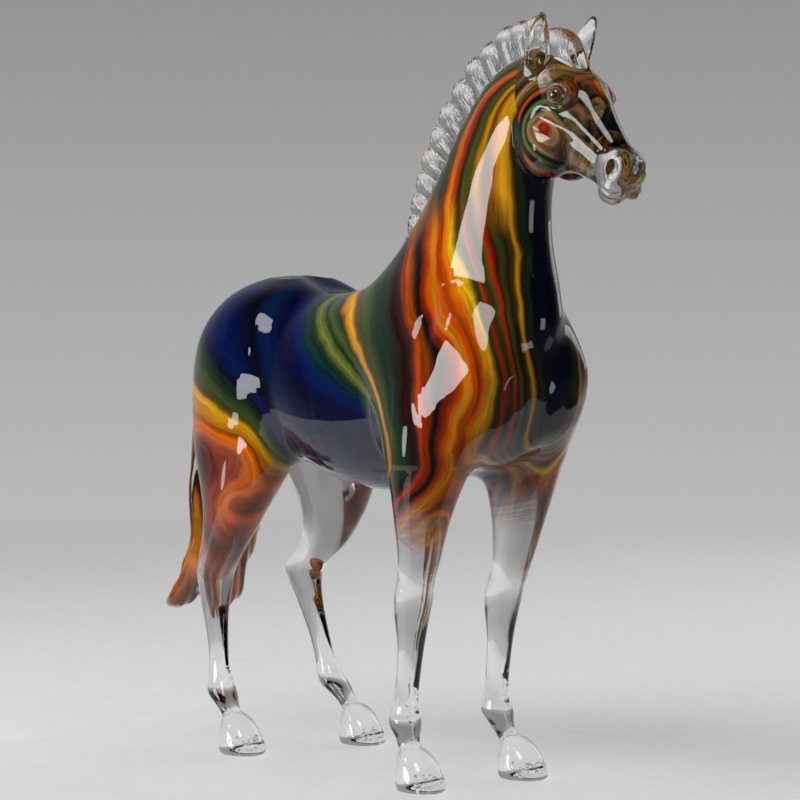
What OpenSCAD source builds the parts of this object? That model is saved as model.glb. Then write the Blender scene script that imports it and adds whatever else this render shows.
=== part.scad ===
// Standing horse figurine in hot-worked cased glass.
// Frame: +X toward the head, +Y to the horse's left, +Z up, hooves standing on z = 0.

/* [Colour core] */
// Clear glass over the colour on the trunk and neck, mm
body_wall = 3; // [2:0.5:4]
// Clear glass over the colour inside the legs, mm
leg_wall = 2.5; // [2:0.5:3.5]
// Lower end of the colour in the front legs, mm above the ground
front_core_end = 92; // [86:1:100]
// Lower end of the colour in the hind legs, mm above the ground
hind_core_end = 66; // [62:1:80]

/* [Joints] */
// Height of the seam between the trunk and the front legs, mm
front_seam = 112; // [109:1:115]
// Height of the seam between the trunk and the hind legs, mm
hind_seam = 112; // [109:1:115]
// Height of the seam between a leg and its hoof, mm
hoof_h = 14; // [12.5:0.5:15.5]

/* [Mane] */
// Height of the tallest mane lock over the crest, mm
mane_h = 12.5; // [10:0.5:17]
// Thickness of a mane lock across the neck, mm
mane_t = 7; // [5:0.5:9]

/* [Eyes] */
// Radius of a glass eye bead, mm
eye_r = 4.2; // [3.5:0.1:4.8]

/* [Hidden] */
body_n = 28;
leg_n = 18;
lock_n = 10;
locks = 13;
shift_x = -8;
clear_c = [0.82, 0.88, 0.88, 0.45];
blue_c = [0.08, 0.12, 0.35];
amber_c = [0.78, 0.36, 0.08];
green_c = [0.16, 0.36, 0.2];
eye_c = [0.35, 0.2, 0.08];

// One station of a loft:
// [x, y, z, tilt, upper half, lower half, half width, squareness].
// Tilt 0 is an upright section facing +X; tilt 90 is a level section facing +Z
// whose upper half points back along -X.
function cr(a, b, c, d, t) =
    0.5 * (2 * b + (c - a) * t + (2 * a - 5 * b + 4 * c - d) * t * t
    + (3 * b - a - 3 * c + d) * t * t * t);
function refine(rows, k) = [
    for (i = [0 : len(rows) - 2])
        for (j = [0 : k - 1])
            cr(rows[max(i - 1, 0)], rows[i], rows[i + 1],
               rows[min(i + 2, len(rows) - 1)], j / k),
    rows[len(rows) - 1]
];
function spow(v, e) = sign(v) * pow(abs(v), e);
// The colour thins to a point over the last 14 mm above the height 'stop'.
function fade(z, stop) = 0.7 * max(0, stop + 14 - z);
function ring(s, n, inset, stop) = [
    for (i = [0 : n - 1])
        let (a = 360 * (i + 0.5) / n,
             g = inset + (inset > 0 ? fade(s[2], stop) : 0),
             u = max(s[6] - g, 0.3) * spow(cos(a), s[7]),
             v = max((sin(a) > 0 ? s[4] : s[5]) - g, 0.3) * spow(sin(a), s[7]))
        [s[0] - v * sin(s[3]), s[1] + u, s[2] + v * cos(s[3])]
];

// A loft without its end stations, so that the clear glass covers its ends too.
function inner(rows) = [for (i = [1 : len(rows) - 2]) rows[i]];
// Puts the stations in the order in which their sections face.
function ordered(rows) =
    let (m = rows[floor(len(rows) / 2)][3],
         v = rows[len(rows) - 1] - rows[0])
    v[0] * cos(m) + v[2] * sin(m) < 0
        ? [for (i = [len(rows) - 1 : -1 : 0]) rows[i]] : rows;

module loft(rows, n = body_n, k = 1, inset = 0, stop = -99) {
    st = ordered(refine(rows, k));
    m = len(st);
    pts = [for (s = st) each ring(s, n, inset, stop)];
    ends = [for (s = [st[0], st[m - 1]]) [s[0], s[1], s[2]]];
    walls = [
        for (i = [0 : m - 2])
            for (j = [0 : n - 1])
                let (a = i * n + j, b = i * n + (j + 1) % n)
                each [[a, b + n, b], [a, a + n, b + n]]
    ];
    caps = [
        for (j = [0 : n - 1])
            each [[m * n, j, (j + 1) % n],
                  [m * n + 1, (m - 1) * n + (j + 1) % n, (m - 1) * n + j]]
    ];
    polyhedron(points = concat(pts, ends), faces = concat(walls, caps), convexity = 6);
}

// Keeps a whole boolean as one surface and puts the horse over the origin.
module one_body() {
    translate([shift_x, 0, 0]) resize([0, 0, 0]) children();
}

module above(z) {
    translate([-300, -300, z]) cube([600, 600, 400]);
}
module below(z) {
    translate([-300, -300, z - 400]) cube([600, 600, 400]);
}
// Seam between trunk and neck: a plane that falls from the withers to the chest.
module neck_side() {
    translate([60, 0, 202]) rotate([0, 14, 0]) translate([-200, -200, 0]) cube(400);
}
// Seam between neck and head: a steep plane from behind the ears to the throat.
module head_side() {
    translate([105, 0, 275]) rotate([0, -15, 0]) translate([0, -100, -120]) cube(240);
}

barrel_rows = [
    [-109, 0, 168, 0, 4, 5, 4, 1],
    [-105, 0, 170, 0, 15, 16, 13, 1],
    [-95, 0, 172, 0, 27, 26, 23, 1],
    [-76, 0, 172, 0, 36, 32, 31, 0.95],
    [-50, 0, 168, 0, 38, 36, 34, 0.95],
    [-20, 0, 163, 0, 41, 41, 35, 0.95],
    [6, 0, 162, 0, 46, 43, 34, 0.95],
    [34, 0, 164, 0, 48, 42, 32, 0.95],
    [62, 0, 168, 0, 44, 38, 30, 1],
    [84, 0, 168, 0, 32, 34, 26, 1],
    [98, 0, 167, 0, 18, 24, 18, 1],
    [105, 0, 166, 0, 4, 6, 5, 1]
];
function breast_rows(d) = [
    [70, d * 16, 186, 0, 5, 5, 5, 1],
    [78, d * 16, 178, -6, 24, 24, 16, 1],
    [90, d * 16, 170, -8, 24, 26, 17, 1],
    [101, d * 15, 166, -8, 16, 19, 13, 1],
    [106, d * 14, 164, -8, 6, 8, 6, 1]
];
// 'f' carries the pastern back from its mate's.
function fore_rows(d, f) = [
    [30, d * 12, 202, 90, 8, 10, 5, 1],
    [42, d * 17, 190, 90, 22, 24, 12, 1],
    [56, d * 20, 172, 90, 28, 32, 16, 1],
    [62, d * 22, 152, 90, 26, 32, 17, 1],
    [62, d * 24, 136, 90, 22, 24, 15, 1],
    [61, d * 25, 122, 90, 16, 18, 12.5, 1],
    [60, d * 25.5, 110, 90, 13, 13, 10.5, 1],
    [58, d * 25, 96, 90, 10, 9.5, 8.6, 1],
    [55, d * 24.5, 86, 90, 8.5, 8.5, 7.6, 1],
    [53 - 0.4 * f, d * 24.5, 78, 90, 8.5, 9, 7.9, 1],
    [52 - 0.5 * f, d * 24.5, 69, 90, 7.5, 7.5, 6.8, 1],
    [51.5 - 0.6 * f, d * 24.5, 58, 90, 6.2, 5.8, 5.2, 1],
    [50 - 0.8 * f, d * 25, 43, 90, 5.6, 5.2, 4.6, 1],
    [49 - f, d * 25.5, 32, 90, 6.4, 5.8, 5, 1],
    [49 - f, d * 26, 25, 90, 8, 7, 6, 1],
    [52 - 0.7 * f, d * 26.5, 18.5, 80, 6, 6, 5.2, 1],
    [57, d * 27, 12, 80, 8, 8, 7, 1]
];
// 'f' carries the lower leg forward of its mate.
function hind_rows(d, f) = [
    [-62, d * 9, 209, 90, 8, 10, 5, 1],
    [-66, d * 14, 202, 90, 24, 24, 14, 1],
    [-74, d * 17, 186, 90, 32, 34, 19, 1],
    [-77, d * 18, 166, 90, 34, 38, 20, 1],
    [-76, d * 19, 148, 90, 35, 38, 19, 1],
    [-74, d * 22, 132, 90, 32, 32, 17, 1],
    [-72, d * 25, 118, 90, 26, 25, 14.5, 1],
    [-75, d * 27, 103, 90, 18.5, 17, 11.5, 1],
    [-83, d * 27.5, 89, 90, 14, 12, 8.8, 1],
    [-89 - 0.9 * f, d * 27.5, 79, 90, 12, 10, 7.2, 1],
    [-90 - f, d * 27.5, 71, 90, 9.5, 9.5, 6.4, 1],
    [-89 - 0.7 * f, d * 28, 61, 90, 7, 7.5, 5, 1],
    [-86 - 0.2 * f, d * 28.5, 46, 90, 5.4, 5.2, 4.1, 1],
    [-84 + 0.2 * f, d * 29, 33, 90, 5.8, 5.4, 4.6, 1],
    [-81 + 0.5 * f, d * 29.5, 24, 90, 8, 7, 5.9, 1],
    [-75 + 0.8 * f, d * 30, 18, 80, 6, 6, 5, 1],
    [-68 + f, d * 30, 12, 80, 8, 8, 6.6, 1]
];
neck_rows = [
    [34, 0, 160, 60, 30, 30, 20, 1],
    [48, 0, 182, 66, 44, 42, 29, 1],
    [62, 0, 200, 70, 49, 45, 26, 1],
    [70, 0, 217, 66, 42, 38, 22, 1],
    [77, 0, 237, 58, 34, 32, 19, 1],
    [84, 0, 255, 50, 29, 27, 17, 1],
    [95, 0, 270, 38, 26, 22, 15, 1],
    [107, 0, 279, 20, 20, 18, 13.5, 1],
    [117, 0, 280, 0, 12, 12, 10, 1]
];
head_rows = [
    [98, 0, 280, 10, 12, 10, 8, 1],
    [106, 0, 276, 0, 23, 23, 14, 1],
    [116, 0, 273, -20, 24, 23, 15.5, 1],
    [127, 0, 268, -36, 22, 22, 14.5, 1],
    [138, 0, 261, -40, 17, 17, 11.5, 1],
    [148, 0, 254, -40, 12.5, 12.5, 9, 0.95],
    [156, 0, 248, -40, 11, 11, 8.6, 0.95],
    [161, 0, 244, -40, 9, 9.5, 8, 1],
    [166, 0, 241, -40, 3, 4, 3.5, 1]
];
streak_rows = [
    [100, 0, 280, 0, 12, 12, 9, 1],
    [114, 0, 276, -15, 17, 18, 11, 1],
    [127, 0, 268, -36, 14, 16, 9.5, 1],
    [139, 0, 260, -40, 9, 10, 6, 1],
    [150, 0, 252, -40, 4, 4, 3, 1],
    [154, 0, 249, -40, 1, 1, 1, 1]
];
function ear_rows(d) = [
    [112, d * 9, 288, 70, 5, 5, 3.5, 1],
    [114, d * 10, 295, 74, 5.5, 5, 4, 1],
    [117, d * 11, 303, 76, 4.5, 4, 3.4, 1],
    [120, d * 12, 309, 76, 2.4, 2.2, 2, 1],
    [122, d * 12, 313, 76, 0.5, 0.5, 0.5, 1]
];
forelock_rows = [
    [108, 0, 299, 30, 7, 6, 4, 1],
    [114, 0, 300, 10, 8, 7, 5.5, 1],
    [122, 0, 298, -25, 7, 7, 5.5, 1],
    [129, 0, 291, -42, 4, 6, 4, 1],
    [134, 0, 285, -46, 1.5, 4, 2, 1]
];
// Crest of the neck from the withers to the poll: [x, z, angle of a lock from +X].
crest_rows = [
    [26, 221, 140],
    [32, 237, 146],
    [40, 254, 144],
    [52, 271, 136],
    [68, 287, 122],
    [86, 298, 108],
    [103, 302, 96]
];
tail_rows = [
    [-96, 0, 182, 0, 7, 7, 7, 1],
    [-108, 0, 182, 8, 7, 7, 7, 1],
    [-119, 0, 176, 50, 8, 8, 9, 1],
    [-126, 0, 162, 78, 9, 9, 11, 1],
    [-129, 0, 140, 90, 9, 9, 13, 1],
    [-129, 0, 116, 90, 9, 9, 15, 1],
    [-128, 0, 94, 90, 9, 10, 16, 1],
    [-129, 0, 76, 90, 9, 10, 14, 1],
    [-130, 2, 64, 90, 7, 8, 10, 1],
    [-131, 3, 58, 90, 3, 3, 4, 1]
];
flick_rows = [
    [-128, -4, 100, 90, 6, 6, 6, 1],
    [-132, -7, 84, 90, 7, 7, 7, 1],
    [-138, -9, 70, 70, 7, 6, 7, 1],
    [-145, -11, 62, 40, 5, 5, 6, 1],
    [-152, -12, 59, 20, 2, 2, 3, 1]
];

// The whole outer surface of the clear glass, hooves and applied pieces left off.
module outer() {
    loft(barrel_rows);
    loft(neck_rows, k = 2);
    loft(head_rows, k = 2, n = 22);
    for (d = [-1, 1]) {
        loft(breast_rows(d), n = 24);
        loft(fore_rows(d, d > 0 ? 4 : 0), n = leg_n);
        loft(hind_rows(d, d > 0 ? 8 : 0), n = leg_n);
    }
}
// The colour inside it.
module colour() {
    loft(inner(barrel_rows), inset = body_wall);
    loft(neck_rows, k = 2, inset = body_wall);
    loft(streak_rows, n = 16);
    for (d = [-1, 1]) {
        loft(inner(breast_rows(d)), n = 24, inset = body_wall);
        loft(inner(fore_rows(d, d > 0 ? 4 : 0)), n = leg_n, inset = leg_wall,
             stop = front_core_end);
        loft(inner(hind_rows(d, d > 0 ? 8 : 0)), n = leg_n, inset = leg_wall,
             stop = hind_core_end);
    }
}
module eye_bead(d) {
    translate([129.5, d * 12, 279.5]) sphere(r = eye_r, $fn = 24);
}
module hoof_shape(x, y) {
    rows = [
        [x - 3.6, y, 18, 90, 7.4, 7.4, 6.6, 1],
        [x - 3, y, 14, 90, 8.4, 8.2, 7.4, 1],
        [x - 1.6, y, 8, 90, 10, 10.2, 8.6, 0.95],
        [x, y, 1.2, 90, 11.4, 12, 9.6, 0.92],
        [x, y, 0, 90, 10.8, 11.4, 9, 0.92]
    ];
    loft(rows, n = 24);
}
function hoof_xy(leg) =
    leg == "rf" ? [61, -27] :
    leg == "lf" ? [61, 27] :
    leg == "rh" ? [-65, -30] : [-57, 30];

// Half of the standing length that a leg belongs to, and its side.
module quarter(front, d) {
    translate([front ? 0 : -200, d > 0 ? 0 : -100, -10]) cube([200, 100, 400]);
}

module trunk_casing() {
    color(clear_c) one_body() difference() {
        outer();
        colour();
        neck_side();
        intersection() {
            below(front_seam);
            quarter_pair(true);
        }
        intersection() {
            below(hind_seam);
            quarter_pair(false);
        }
    }
}
module quarter_pair(front) {
    for (d = [-1, 1]) quarter(front, d);
}
module trunk_core() {
    color(blue_c) one_body() difference() {
        colour();
        neck_side();
        intersection() {
            below(front_seam);
            quarter_pair(true);
        }
        intersection() {
            below(hind_seam);
            quarter_pair(false);
        }
    }
}
module neck_casing() {
    color(clear_c) one_body() difference() {
        intersection() {
            outer();
            neck_side();
        }
        colour();
        head_side();
    }
}
module neck_core() {
    color(amber_c) one_body() difference() {
        intersection() {
            colour();
            neck_side();
        }
        head_side();
    }
}
module head_casing() {
    color(clear_c) one_body() difference() {
        intersection() {
            outer();
            neck_side();
            head_side();
        }
        colour();
        for (d = [-1, 1]) eye_bead(d);
    }
}
module head_core() {
    color(green_c) one_body() difference() {
        intersection() {
            colour();
            neck_side();
            head_side();
        }
        for (d = [-1, 1]) eye_bead(d);
    }
}
module eye(d) {
    color(eye_c) translate([shift_x, 0, 0]) eye_bead(d);
}
module ear(d) {
    color(clear_c) one_body() difference() {
        loft(ear_rows(d), n = 16, k = 2);
        outer();
        loft(forelock_rows, n = lock_n, k = 2);
    }
}
module forelock() {
    color(clear_c) one_body() difference() {
        loft(forelock_rows, n = lock_n, k = 2);
        outer();
        for (d = [-1, 1]) eye_bead(d);
    }
}
// Station of lock number i, spread evenly over the crest.
function crest(i) =
    let (t = i * (len(crest_rows) - 1) / (locks - 1),
         a = min(floor(t), len(crest_rows) - 2))
    crest_rows[a] + (t - a) * (crest_rows[a + 1] - crest_rows[a]);
module mane_lock(i) {
    c = crest(i);
    tall = mane_h * (0.6 + 0.4 * sin(30 + 130 * i / (locks - 1)));
    ux = cos(c[2]);
    uz = sin(c[2]);
    lean = c[2] - 90;
    rows = [
        [c[0] - 6 * ux, 0, c[1] - 6 * uz, lean + 90, 4, 4, 0.4 * mane_t, 1],
        [c[0], 0, c[1], lean + 90, 4.2, 4.2, 0.5 * mane_t, 1],
        [c[0] + 0.5 * tall * ux, 0, c[1] + 0.5 * tall * uz, lean + 90, 4.6, 4.4, 0.46 * mane_t, 1],
        [c[0] + 0.85 * tall * ux, 0, c[1] + 0.85 * tall * uz, lean + 94, 4.4, 3.8, 0.34 * mane_t, 1],
        [c[0] + tall * ux, 0, c[1] + tall * uz, lean + 96, 2.4, 2, 0.14 * mane_t, 1]
    ];
    loft(rows, n = lock_n);
}
module mane(i) {
    color(clear_c) one_body() difference() {
        mane_lock(i);
        outer();
        if (i > 0) mane_lock(i - 1);
        if (i == locks - 1) loft(forelock_rows, n = lock_n, k = 2);
        if (i == locks - 1) for (d = [-1, 1]) loft(ear_rows(d), n = 16, k = 2);
    }
}
module leg_casing(front, d) {
    color(clear_c) one_body() difference() {
        intersection() {
            outer();
            quarter(front, d);
        }
        colour();
        above(front ? front_seam : hind_seam);
        below(hoof_h);
    }
}
module leg_core(front, d) {
    color(front ? amber_c : green_c) one_body() difference() {
        intersection() {
            colour();
            quarter(front, d);
        }
        above(front ? front_seam : hind_seam);
        below(front ? front_core_end : hind_core_end);
    }
}
module hoof(leg) {
    p = hoof_xy(leg);
    color(clear_c) one_body() difference() {
        hoof_shape(p[0], p[1]);
        above(hoof_h);
    }
}
module tail_outer() {
    loft(tail_rows, n = 20, k = 1);
    loft(flick_rows, n = 14, k = 1);
}
module tail_colour() {
    loft(inner(tail_rows), n = 20, k = 1, inset = 2);
}
module tail_casing() {
    color(clear_c) one_body() difference() {
        tail_outer();
        outer();
        tail_colour();
    }
}
module tail_core() {
    color(amber_c) one_body() difference() {
        tail_colour();
        outer();
    }
}

trunk_casing();
trunk_core();
neck_casing();
neck_core();
head_casing();
head_core();
ear(-1);  // right_ear
ear(1);  // left_ear
eye(-1);  // right_eye
eye(1);  // left_eye
forelock();
mane(0);  // mane_lock_01
mane(1);  // mane_lock_02
mane(2);  // mane_lock_03
mane(3);  // mane_lock_04
mane(4);  // mane_lock_05
mane(5);  // mane_lock_06
mane(6);  // mane_lock_07
mane(7);  // mane_lock_08
mane(8);  // mane_lock_09
mane(9);  // mane_lock_10
mane(10);  // mane_lock_11
mane(11);  // mane_lock_12
mane(12);  // mane_lock_13
leg_casing(true, -1);  // right_front_leg
leg_casing(true, 1);  // left_front_leg
leg_casing(false, -1);  // right_hind_leg
leg_casing(false, 1);  // left_hind_leg
leg_core(true, -1);  // right_front_core
leg_core(true, 1);  // left_front_core
leg_core(false, -1);  // right_hind_core
leg_core(false, 1);  // left_hind_core
hoof("rf");  // right_front_hoof
hoof("lf");  // left_front_hoof
hoof("rh");  // right_hind_hoof
hoof("lh");  // left_hind_hoof
tail_casing();
tail_core();
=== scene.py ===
import math
import bpy
import numpy as np
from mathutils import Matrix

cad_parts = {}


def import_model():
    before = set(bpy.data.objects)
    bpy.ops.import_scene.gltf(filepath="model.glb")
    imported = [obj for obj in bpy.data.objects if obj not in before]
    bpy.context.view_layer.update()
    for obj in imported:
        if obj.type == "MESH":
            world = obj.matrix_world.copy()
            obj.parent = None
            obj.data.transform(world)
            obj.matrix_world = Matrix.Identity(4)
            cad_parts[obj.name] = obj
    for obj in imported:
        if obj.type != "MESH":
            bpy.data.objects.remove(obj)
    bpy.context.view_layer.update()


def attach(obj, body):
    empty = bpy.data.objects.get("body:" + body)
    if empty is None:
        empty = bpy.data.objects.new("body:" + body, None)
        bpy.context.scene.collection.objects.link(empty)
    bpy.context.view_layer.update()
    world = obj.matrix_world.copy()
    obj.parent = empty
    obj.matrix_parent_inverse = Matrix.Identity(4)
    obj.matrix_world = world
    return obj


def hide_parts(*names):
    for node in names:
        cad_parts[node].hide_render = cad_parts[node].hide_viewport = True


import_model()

import openvdb as vdb
from mathutils import Vector

# ---------- settings
# Shapes are worked out in millimetres in the horse's own frame: +X to the
# head, +Y to its left, +Z up.  SHIFT moves them over the record's origin.
SHIFT = -8.0
VOX = 0.62          # grid spacing
BAND = 12.0         # distances are kept up to this far from a surface
FAR_OFF = 30.0      # stands for "outside this piece's field"
LOW = np.array([-172.0, -47.0, -5.0])
HIGH = np.array([178.0, 47.0, 322.0])
I0 = np.floor(LOW / VOX).astype(int)
DIM = np.ceil((HIGH - LOW) / VOX).astype(int) + 1
GRID_AT = vdb.createLinearTransform(voxelSize=VOX)

# ---------- stations
# [x, y, z, tilt, upper half, lower half, half width, squareness], the last one
# left out where it is 1
BARREL = [
    [-109, 0, 168, 0, 4, 5, 4],
    [-105, 0, 170, 0, 15, 16, 13],
    [-95, 0, 172, 0, 27, 26, 23],
    [-76, 0, 172, 0, 35, 32, 31, 0.97],
    [-50, 0, 168, 0, 37, 36, 34, 0.97],
    [-20, 0, 163, 0, 41, 41, 35, 0.97],
    [6, 0, 162, 0, 46, 43, 34, 0.97],
    [34, 0, 164, 0, 48, 42, 32, 0.97],
    [62, 0, 168, 0, 44, 38, 30],
    [84, 0, 168, 0, 32, 34, 26],
    [98, 0, 167, 0, 18, 24, 18],
    [105, 0, 166, 0, 4, 6, 5],
]
NECK = [
    [34, 0, 160, 60, 30, 30, 20],
    [48, 0, 182, 66, 44, 42, 29],
    [62, 0, 200, 70, 49, 49, 26],
    [70, 0, 217, 66, 42, 43, 22],
    [77, 0, 237, 58, 34, 31.5, 19],
    [84, 0, 255, 50, 29, 25.5, 17],
    [95, 0, 270, 38, 26, 22, 15],
    [107, 0, 279, 20, 20, 18, 13.5],
    [117, 0, 280, 0, 12, 12, 10],
]
HEAD = [
    [98, 0, 280, 10, 12, 10, 8],
    [106, 0, 276, 0, 22, 22, 12.5],
    [116, 0, 273, -20, 23.5, 22, 14, 0.97],
    [127, 0, 268, -36, 20, 20, 12.6],
    [137, 0, 261, -42, 14.5, 15.2, 9.8],
    [146, 0, 254.5, -44, 11, 12, 7.6],
    [152.5, 0, 249.5, -46, 9.8, 10.4, 7.2, 0.97],
    [156, 0, 246.6, -48, 8.6, 8.8, 6.8, 0.97],
    [158.6, 0, 244.4, -50, 6, 6, 5],
    [160, 0, 243.4, -50, 2, 2, 2],
]
TAIL = [
    [-96, 0, 182, 0, 7, 7, 7],
    [-108, 0, 182, 8, 7, 7, 7],
    [-119, 0, 176, 50, 8, 8, 9],
    [-126, 0, 162, 78, 9, 9, 11],
    [-129, 0, 140, 90, 9, 9, 13],
    [-129, 1.6, 116, 90, 9, 9, 17],
    [-128, 3, 94, 90, 9, 10, 18],
    [-129, 0, 76, 90, 9, 10, 14],
    [-130, 2, 64, 90, 7, 8, 10],
    [-131, 3, 58, 90, 3, 3, 4],
]
FLICK = [
    [-128, -4, 100, 90, 6, 6, 6],
    [-132, -7, 84, 90, 7, 7, 7],
    [-138, -9, 70, 70, 7, 6, 7],
    [-145, -11, 62, 40, 5, 5, 6],
    [-152, -12, 59, 20, 2, 2, 3],
]
FORELOCK = [
    [108, 0, 299, 30, 7, 6, 4],
    [114, 0, 300, 10, 8, 7, 5.5],
    [122, 0, 298, -25, 7, 7, 5.5],
    [129, 0, 291, -42, 4, 6, 4],
    [134, 0, 285, -46, 1.5, 4, 2],
]
# root of the mane: [x, z, direction in degrees]
CREST = [
    [26, 221, 140],
    [32, 237, 146],
    [40, 254, 144],
    [52, 271, 136],
    [68, 287, 122],
    [86, 298, 108],
    [103, 302, 96],
]
HOOF_AT = {"right_front": (61, -27), "left_front": (61, 27),
           "right_hind": (-65, -30), "left_hind": (-57, 30)}
EYE_AT = (129.5, 12.0, 279.5)
EYE_R = 4.5
EYE_YAW = 28                                # degrees, the eye's axis turned forward
HOOF_H, LEG_SEAM = 14.0, 112.0              # heights of the level seams
NECK_SEAM, NECK_TILT = (60, 0, 202), 14     # a point on it, and degrees from level
THROAT_SEAM, THROAT_TILT = (105, 0, 275), 15    # degrees from upright
WALL, WALL_MOST = 3.0, 14                   # clear glass over the colour
LEG_SET = {-1: (0, 0), 1: (4, 8)}           # how far the left feet are shifted: fore, hind
CALM = 14                                   # smoothing passes along the legs
LOCKS = 13
LOCK_LOW, LOCK_MORE = 7.5, 5                # height of a lock, tallest in mid neck
RIB_PITCH, RIB_DEPTH = 2.35, 0.26           # ribs drawn into each lock
STRAND_PITCH, STRAND_DEPTH = 6.2, 0.45      # strands of the tail
TAIL_BAND = 6
TAIL_WALL = 2.4
BUBBLES = 26                                # air bubbles in each hoof


# d is -1 on the right side and 1 on the left; f sets a foot forward
def breast_rows(d):
    return [
        [70, d * 16, 186, 0, 5, 5, 5],
        [78, d * 16, 178, -6, 24, 24, 16],
        [90, d * 15.6, 170, -8, 24, 26, 16.4],
        [101, d * 15, 166, -8, 16, 19, 13],
        [106, d * 14, 164, -8, 6, 8, 6],
    ]


def fore_rows(d, f):
    return [
        [30, d * 12, 202, 90, 8, 10, 5],
        [42, d * 17, 190, 90, 22, 24, 12],
        [56, d * 20, 172, 90, 28, 32, 16],
        [62, d * 22, 152, 90, 26, 32, 17],
        [62, d * 24, 136, 90, 22, 24, 15],
        [61, d * 25, 122, 90, 16, 18, 12.5],
        [60, d * 25.5, 110, 90, 13, 13, 10.5],
        [58, d * 25, 96, 90, 10, 9.5, 8.6],
        [55, d * 24.5, 86, 90, 8.5, 8.5, 7.6],
        [53 - 0.4 * f, d * 24.5, 78, 90, 8.5, 9, 7.9],
        [52 - 0.5 * f, d * 24.5, 69, 90, 7.5, 7.5, 6.8],
        [51.5 - 0.6 * f, d * 24.5, 58, 90, 6.2, 5.8, 5.2],
        [50 - 0.8 * f, d * 25, 43, 90, 5.6, 5.2, 4.6],
        [49 - f, d * 25.5, 32, 90, 6.4, 5.8, 5],
        [49.6 - f, d * 26, 26.5, 90, 7.9, 7, 6.8],
        [52 - 0.7 * f, d * 26.5, 19, 80, 5.2, 5.2, 4.3],
        [57, d * 27, 12, 80, 6.4, 6.4, 5.4],
    ]


def hind_rows(d, f):
    return [
        [-62, d * 9, 209, 90, 8, 10, 5],
        [-66, d * 14, 202, 90, 24, 24, 14],
        [-74, d * 17, 186, 90, 32, 34, 19],
        [-77, d * 18, 166, 90, 34, 38, 20],
        [-76, d * 19, 148, 90, 35, 38, 19],
        [-74, d * 22, 132, 90, 32, 32, 17],
        [-72, d * 25, 118, 90, 26, 25 - 0.4 * (8 - f), 14.5],
        [-75, d * 27, 103, 90, 18.5, 17 - 0.45 * (8 - f), 11.5],
        [-83, d * 27.5, 89, 90, 14, 12 - 0.2 * (8 - f), 8.8],
        [-89 - 0.9 * f, d * 27.5, 79, 90, 12 + 0.4 * f, 10, 7.2],
        [-90 - f, d * 27.5, 71, 90, 9.5, 9.5, 6.4],
        [-89 - 0.7 * f, d * 28, 61, 90, 7, 7.5, 5],
        [-86 - 0.2 * f, d * 28.5, 46, 90, 5.4, 5.2, 4.1],
        [-84 + 0.2 * f, d * 29, 33, 90, 5.8, 5.4, 4.6],
        [-81 + 0.5 * f, d * 29.5, 25, 90, 8.4, 7.4, 6.4],
        [-75 + 0.8 * f, d * 30, 18.5, 80, 5.4, 5.4, 4.3],
        [-68 + f, d * 30, 12, 80, 6.4, 6.4, 5.4],
    ]


def ear_rows(d):
    o = 2 if d > 0 else 0
    return [
        [111, d * (8 + 0.6 * o), 286, 68, 4.6, 4.6, 4],
        [113, d * (9.2 + 0.8 * o), 292, 72, 5.4, 5.2, 4.8],
        [115, d * (10.3 + o), 299, 74, 5.6, 5, 4.8],
        [117.4, d * (11.3 + o), 305, 72, 4.4, 4, 3.8],
        [119.4, d * (12 + o), 309.6, 68, 2.6, 2.4, 2.3],
        [120.6, d * (12.2 + o), 312.4, 62, 1, 1, 1],
    ]


def hoof_rows(x, y):
    return [
        [x - 6, y, 17.6, 90, 3.4, 3.2, 3.6],
        [x - 5.2, y, 16.4, 90, 5.6, 5.6, 5.4],
        [x - 3.8, y, 14, 90, 7.4, 7.8, 7.1],
        [x - 2.3, y, 10.4, 90, 9.0, 9.6, 8.5],
        [x - 1, y, 6, 90, 10.4, 11, 9.6],
        [x - 0.2, y, 2.6, 90, 11, 11.8, 9.9],
        [x, y, 0.9, 90, 10.8, 11.6, 9.6],
        [x, y, 0, 90, 10, 10.6, 8.8],
    ]


# ---------- lofts
def refine(rows, k, calm=0):
    """Stations between the given ones on a smooth curve, calmed if asked."""
    r = np.array([(*row, 1)[:8] for row in rows], float)
    out = []
    for i in range(len(r) - 1):
        a, b, c, d = (r[max(i - 1, 0)], r[i], r[i + 1], r[min(i + 2, len(r) - 1)])
        for j in range(k):
            t = j / k
            out.append(0.5 * (2 * b + (c - a) * t + (2 * a - 5 * b + 4 * c - d) * t * t
                              + (3 * b - a - 3 * c + d) * t ** 3))
    out.append(r[-1])
    out = np.array(out)
    for _ in range(calm):
        out[1:-1] = (out[:-2] + 2 * out[1:-1] + out[2:]) / 4
    return out


def loft(rows, n=64, k=10, calm=0):
    """Points, side quads and end triangles of a skin over the stations."""
    st = refine(rows, k, calm)
    a = np.linspace(0, 2 * math.pi, n, endpoint=False)
    co, si = np.cos(a), np.sin(a)
    e = st[:, 7:8]
    u = np.maximum(st[:, 6:7], 0.2) * np.sign(co) * np.abs(co) ** e
    h = np.where(si > 0, st[:, 4:5], st[:, 5:6])
    v = np.maximum(h, 0.2) * np.sign(si) * np.abs(si) ** e
    tl = np.radians(st[:, 3:4])
    p = np.stack([st[:, 0:1] - v * np.sin(tl), st[:, 1:2] + u,
                  st[:, 2:3] + v * np.cos(tl)], -1).reshape(-1, 3)
    m = len(st)
    i, j = np.meshgrid(np.arange(m - 1), np.arange(n), indexing="ij")
    q = np.stack([i * n + j, i * n + (j + 1) % n, (i + 1) * n + (j + 1) % n,
                  (i + 1) * n + j], -1).reshape(-1, 4)
    p = np.vstack([p, st[0, :3], st[-1, :3]])
    j = np.arange(n)
    t = np.vstack([np.stack([np.full(n, m * n), (j + 1) % n, j], 1),
                   np.stack([np.full(n, m * n + 1), (m - 1) * n + j,
                             (m - 1) * n + (j + 1) % n], 1)])
    return p, q, t


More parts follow.
